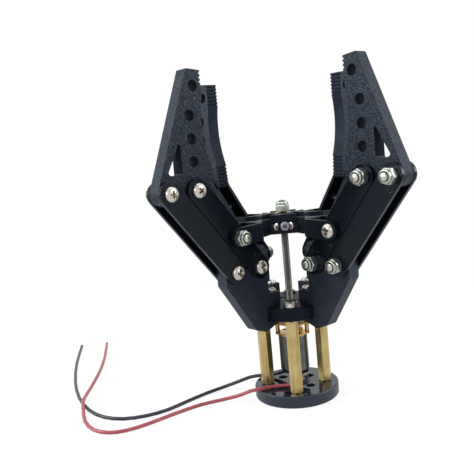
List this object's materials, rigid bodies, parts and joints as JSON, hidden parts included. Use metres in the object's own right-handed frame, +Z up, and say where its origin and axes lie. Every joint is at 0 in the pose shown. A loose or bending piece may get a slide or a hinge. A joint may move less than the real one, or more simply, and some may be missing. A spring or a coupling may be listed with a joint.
{
  "type": "electric parallel-jaw gripper",
  "caption": "Motor-driven gripper: jaws on parallel links, folded together by a lead screw and crosshead above a round base disc.",
  "frame": {"origin": "centre of the base disc's underside", "axes": "+Z up along the lead screw; the jaws stand at 45 degrees between X and Y"},
  "size_m": [0.1695, 0.136, 0.1334],
  "materials": {
    "moulded_black": "moulded black nylon, faintly speckled faces",
    "gloss_black": "glossy black plastic strip with soft edges",
    "black_acrylic": "glossy black faces, satin rim",
    "brass": "drawn hexagonal brass bar, satin",
    "gear_brass": "stamped brass",
    "motor_steel": "satin nickel-plated steel",
    "end_cap": "moulded black plastic",
    "bright_screw": "bright nickel plating",
    "zinc_nut": "zinc plating with a faint green cast",
    "dark_steel": "dark threaded steel",
    "dark_bolt": "dark blued steel",
    "black_insulation": "smooth soft insulation",
    "red_insulation": "smooth soft insulation"
  },
  "bodies": {
    "frame": {"base_plate": "black_acrylic", "base_screws": "bright_screw", "standoffs": "brass", "hub_plate": "moulded_black", "hub_screws": "bright_screw", "motor_can": "motor_steel", "motor_end_cap": "end_cap", "motor_terminals": "brass", "gearbox_plates": "gear_brass", "gearbox_pillars": "gear_brass", "motor_screws": "bright_screw", "bracket_screws": "bright_screw", "frame_pivot_screws": "bright_screw", "frame_pivot_nuts": "zinc_nut", "black_wire": "black_insulation", "red_wire": "red_insulation", "front_left_bracket": "moulded_black", "front_right_bracket": "moulded_black", "back_left_bracket": "moulded_black", "back_right_bracket": "moulded_black"},
    "lead_screw": {"lead_screw": "dark_steel", "output_gear": "gear_brass", "top_lock_nut": "zinc_nut"},
    "idler": {"idler_gear": "gear_brass"},
    "motor_shaft": {"motor_pinion": "gear_brass"},
    "crosshead": {"crosshead": "moulded_black", "drive_nut": "brass", "crosshead_pins": "bright_screw", "nut_clamp_bolt": "dark_bolt"},
    "front_left_inner_link": {"front_left_inner_link": "gloss_black"},
    "front_left_outer_link": {"front_left_outer_link": "gloss_black"},
    "front_left_finger": {"front_left_finger": "moulded_black", "front_left_finger_screws": "bright_screw", "front_left_finger_nuts": "zinc_nut"},
    "front_left_rod": {"front_left_rod": "moulded_black", "front_left_rod_pivot": "zinc_nut"},
    "front_right_inner_link": {"front_right_inner_link": "gloss_black"},
    "front_right_outer_link": {"front_right_outer_link": "gloss_black"},
    "front_right_finger": {"front_right_finger": "moulded_black", "front_right_finger_screws": "bright_screw", "front_right_finger_nuts": "zinc_nut"},
    "front_right_rod": {"front_right_rod": "moulded_black", "front_right_rod_pivot": "zinc_nut"},
    "back_left_inner_link": {"back_left_inner_link": "gloss_black"},
    "back_left_outer_link": {"back_left_outer_link": "gloss_black"},
    "back_left_finger": {"back_left_finger": "moulded_black", "back_left_finger_screws": "bright_screw", "back_left_finger_nuts": "zinc_nut"},
    "back_left_rod": {"back_left_rod": "moulded_black", "back_left_rod_pivot": "zinc_nut"},
    "back_right_inner_link": {"back_right_inner_link": "gloss_black"},
    "back_right_outer_link": {"back_right_outer_link": "gloss_black"},
    "back_right_finger": {"back_right_finger": "moulded_black", "back_right_finger_screws": "bright_screw", "back_right_finger_nuts": "zinc_nut"},
    "back_right_rod": {"back_right_rod": "moulded_black", "back_right_rod_pivot": "zinc_nut"}
  },
  "joints": [
    {"name": "crosshead_slide", "type": "slide", "parent": "frame", "child": "crosshead", "axis": [0, 0, -1], "range_m": [0, 0.01677]},
    {"name": "lead_screw_spin", "type": "hinge", "parent": "frame", "child": "lead_screw", "pos_m": [0, 0, 0.04], "axis": [0, 0, 1], "range_deg": [0, 12075]},
    {"name": "idler_spin", "type": "hinge", "parent": "frame", "child": "idler", "pos_m": [0.0023, -0.0023, 0.03], "axis": [0, 0, -1], "range_deg": [0, 27171]},
    {"name": "motor_spin", "type": "hinge", "parent": "frame", "child": "motor_shaft", "pos_m": [0, 0, 0.028], "axis": [0, 0, 1], "range_deg": [0, 43474]},
    {"name": "front_left_inner_link_turn", "type": "hinge", "parent": "frame", "child": "front_left_inner_link", "pos_m": [-0.01301, -0.01301, 0.058], "axis": [-0.7071, 0.7071, 0], "range_deg": [0, 47.1]},
    {"name": "front_left_outer_link_turn", "type": "hinge", "parent": "frame", "child": "front_left_outer_link", "pos_m": [-0.0215, -0.0215, 0.058], "axis": [-0.7071, 0.7071, 0], "range_deg": [0, 47.1]},
    {"name": "front_left_finger_turn", "type": "hinge", "parent": "front_left_inner_link", "child": "front_left_finger", "pos_m": [-0.0317, -0.0317, 0.09064], "axis": [0.7071, -0.7071, 0], "range_deg": [0, 47.1]},
    {"name": "front_left_rod_turn", "type": "hinge", "parent": "crosshead", "child": "front_left_rod", "pos_m": [-0.0059, -0.0059, 0.0723], "axis": [-0.7071, 0.7071, 0], "range_deg": [0, 71.4]},
    {"name": "front_right_inner_link_turn", "type": "hinge", "parent": "frame", "child": "front_right_inner_link", "pos_m": [0.01301, -0.01301, 0.058], "axis": [-0.7071, -0.7071, 0], "range_deg": [0, 47.1]},
    {"name": "front_right_outer_link_turn", "type": "hinge", "parent": "frame", "child": "front_right_outer_link", "pos_m": [0.0215, -0.0215, 0.058], "axis": [-0.7071, -0.7071, 0], "range_deg": [0, 47.1]},
    {"name": "front_right_finger_turn", "type": "hinge", "parent": "front_right_inner_link", "child": "front_right_finger", "pos_m": [0.0317, -0.0317, 0.09064], "axis": [0.7071, 0.7071, 0], "range_deg": [0, 47.1]},
    {"name": "front_right_rod_turn", "type": "hinge", "parent": "crosshead", "child": "front_right_rod", "pos_m": [0.0059, -0.0059, 0.0723], "axis": [-0.7071, -0.7071, 0], "range_deg": [0, 71.4]},
    {"name": "back_left_inner_link_turn", "type": "hinge", "parent": "frame", "child": "back_left_inner_link", "pos_m": [-0.01301, 0.01301, 0.058], "axis": [0.7071, 0.7071, 0], "range_deg": [0, 47.1]},
    {"name": "back_left_outer_link_turn", "type": "hinge", "parent": "frame", "child": "back_left_outer_link", "pos_m": [-0.0215, 0.0215, 0.058], "axis": [0.7071, 0.7071, 0], "range_deg": [0, 47.1]},
    {"name": "back_left_finger_turn", "type": "hinge", "parent": "back_left_inner_link", "child": "back_left_finger", "pos_m": [-0.0317, 0.0317, 0.09064], "axis": [-0.7071, -0.7071, 0], "range_deg": [0, 47.1]},
    {"name": "back_left_rod_turn", "type": "hinge", "parent": "crosshead", "child": "back_left_rod", "pos_m": [-0.0059, 0.0059, 0.0723], "axis": [0.7071, 0.7071, 0], "range_deg": [0, 71.4]},
    {"name": "back_right_inner_link_turn", "type": "hinge", "parent": "frame", "child": "back_right_inner_link", "pos_m": [0.01301, 0.01301, 0.058], "axis": [0.7071, -0.7071, 0], "range_deg": [0, 47.1]},
    {"name": "back_right_outer_link_turn", "type": "hinge", "parent": "frame", "child": "back_right_outer_link", "pos_m": [0.0215, 0.0215, 0.058], "axis": [0.7071, -0.7071, 0], "range_deg": [0, 47.1]},
    {"name": "back_right_finger_turn", "type": "hinge", "parent": "back_right_inner_link", "child": "back_right_finger", "pos_m": [0.0317, 0.0317, 0.09064], "axis": [-0.7071, 0.7071, 0], "range_deg": [0, 47.1]},
    {"name": "back_right_rod_turn", "type": "hinge", "parent": "crosshead", "child": "back_right_rod", "pos_m": [0.0059, 0.0059, 0.0723], "axis": [0.7071, -0.7071, 0], "range_deg": [0, 71.4]}
  ],
  "couplings": [
    {"joint": "lead_screw_spin", "follows": "crosshead_slide", "rad_per_m": 12566},
    {"joint": "idler_spin", "follows": "crosshead_slide", "rad_per_m": 28274},
    {"joint": "motor_spin", "follows": "crosshead_slide", "rad_per_m": 45239},
    {"joint": "front_left_inner_link_turn", "follows": "crosshead_slide", "rad_per_m": 48.918},
    {"joint": "front_left_outer_link_turn", "follows": "crosshead_slide", "rad_per_m": 48.918},
    {"joint": "front_left_finger_turn", "follows": "crosshead_slide", "rad_per_m": 48.918},
    {"joint": "front_left_rod_turn", "follows": "crosshead_slide", "rad_per_m": 74.207},
    {"joint": "front_right_inner_link_turn", "follows": "crosshead_slide", "rad_per_m": 48.918},
    {"joint": "front_right_outer_link_turn", "follows": "crosshead_slide", "rad_per_m": 48.918},
    {"joint": "front_right_finger_turn", "follows": "crosshead_slide", "rad_per_m": 48.918},
    {"joint": "front_right_rod_turn", "follows": "crosshead_slide", "rad_per_m": 74.207},
    {"joint": "back_left_inner_link_turn", "follows": "crosshead_slide", "rad_per_m": 48.918},
    {"joint": "back_left_outer_link_turn", "follows": "crosshead_slide", "rad_per_m": 48.918},
    {"joint": "back_left_finger_turn", "follows": "crosshead_slide", "rad_per_m": 48.918},
    {"joint": "back_left_rod_turn", "follows": "crosshead_slide", "rad_per_m": 74.207},
    {"joint": "back_right_inner_link_turn", "follows": "crosshead_slide", "rad_per_m": 48.918},
    {"joint": "back_right_outer_link_turn", "follows": "crosshead_slide", "rad_per_m": 48.918},
    {"joint": "back_right_finger_turn", "follows": "crosshead_slide", "rad_per_m": 48.918},
    {"joint": "back_right_rod_turn", "follows": "crosshead_slide", "rad_per_m": 74.207}
  ]
}
